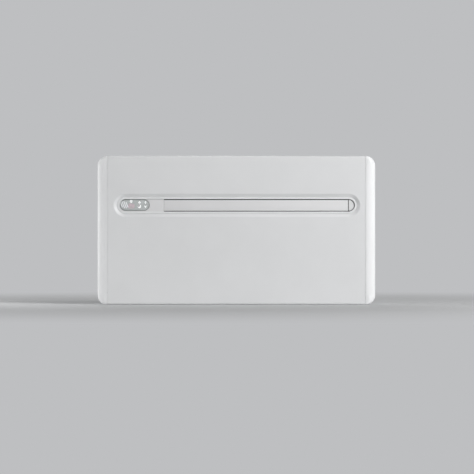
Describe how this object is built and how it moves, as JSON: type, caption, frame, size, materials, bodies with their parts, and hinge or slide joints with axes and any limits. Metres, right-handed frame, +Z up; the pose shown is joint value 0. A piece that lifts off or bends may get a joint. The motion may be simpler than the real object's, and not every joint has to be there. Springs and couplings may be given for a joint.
{
  "type": "monoblock air conditioner",
  "caption": "Wall-hung one-box air conditioner: flat white case with rounded side caps, recessed slot with display and tilting flap, top grilles, two rear wall ducts.",
  "frame": {"origin": "middle of the flat back face, on the wall plane", "axes": "+X to the viewer's right along the case, +Z up, -Y out of the wall towards the room"},
  "size_m": [1.01, 0.165, 0.54],
  "materials": {
    "white_panel": "satin white powder coat",
    "white_abs": "satin white moulded plastic",
    "galvanised": "galvanised sheet",
    "grey_foam": "closed-cell foam",
    "screw_steel": "zinc-plated",
    "filter_net": "dark net in a plastic frame",
    "display_lens": "grey-green tinted lens",
    "circuit_board": "green solder mask",
    "black_plastic": "moulded black plastic",
    "grey_plastic": "moulded grey plastic",
    "motor_metal": "drawn steel can",
    "bush_plastic": "acetal",
    "eps": "expanded polystyrene",
    "fin_aluminium": "thin fins",
    "copper": "soft copper tube",
    "compressor_paint": "gloss black",
    "rubber": "matte",
    "hose": "soft grey hose",
    "capacitor_can": "capacitor can"
  },
  "bodies": {
    "case": {"front_panel": "white_panel", "side_cap_left": "white_abs", "side_cap_right": "white_abs", "foam_mat": "grey_foam", "casing_screws": "screw_steel", "top_panel": "white_abs", "back_plate": "galvanised", "base_pan": "galvanised", "side_frame_left": "galvanised", "side_frame_right": "galvanised", "divider": "galvanised", "wall_rail": "galvanised", "hang_hooks": "galvanised", "outlet_frame": "white_abs", "flap_motor": "motor_metal", "flap_bush": "bush_plastic", "flap_end_cover": "white_abs", "display_window": "display_lens", "display_board": "circuit_board", "outlet_guard": "black_plastic", "air_end_left": "galvanised", "air_end_right": "galvanised", "rear_air_guide": "eps", "drain_tray": "eps", "evaporator_fins": "fin_aluminium", "evaporator_bends": "copper", "crossflow_motor": "motor_metal", "crossflow_bearing": "rubber", "drain_hose": "hose", "drain_spigot": "grey_plastic", "duct_gaskets": "grey_foam", "inlet_duct": "grey_plastic", "exhaust_duct": "grey_plastic", "fan_scroll": "grey_plastic", "air_cover": "grey_plastic", "radial_motor": "motor_metal", "condenser_fins": "fin_aluminium", "condenser_frame": "galvanised", "condenser_bends": "copper", "compressor": "compressor_paint", "compressor_feet": "rubber", "compressor_nuts": "screw_steel", "suction_pipe": "copper", "discharge_pipe": "copper", "liquid_pipe": "copper", "control_box": "galvanised", "control_cover": "galvanised", "control_board": "circuit_board", "run_capacitor": "capacitor_can", "terminal_block": "grey_plastic", "cable_gland": "black_plastic"},
    "flap": {"outlet_flap": "white_abs", "flap_shaft": "screw_steel"},
    "crossflow": {"crossflow_rotor": "black_plastic"},
    "radial": {"radial_wheel": "black_plastic"},
    "cassette_left": {"grille_left": "white_abs", "filter_left": "filter_net"},
    "cassette_right": {"grille_right": "white_abs", "filter_right": "filter_net"}
  },
  "joints": [
    {"name": "flap_tilt", "type": "hinge", "parent": "case", "child": "flap", "pos_m": [0.072, -0.154, 0.0751], "axis": [1, 0, 0], "range_deg": [0, 80]},
    {"name": "crossflow_spin", "type": "hinge", "parent": "case", "child": "crossflow", "pos_m": [0.072, -0.066, 0.112], "axis": [1, 0, 0], "continuous": true},
    {"name": "radial_spin", "type": "hinge", "parent": "case", "child": "radial", "pos_m": [-0.1465, -0.12, -0.115], "axis": [0, 1, 0], "continuous": true},
    {"name": "cassette_left_lift", "type": "slide", "parent": "case", "child": "cassette_left", "axis": [0, 0, 1], "range_m": [0, 0.1]},
    {"name": "cassette_right_lift", "type": "slide", "parent": "case", "child": "cassette_right", "axis": [0, 0, 1], "range_m": [0, 0.1]}
  ]
}
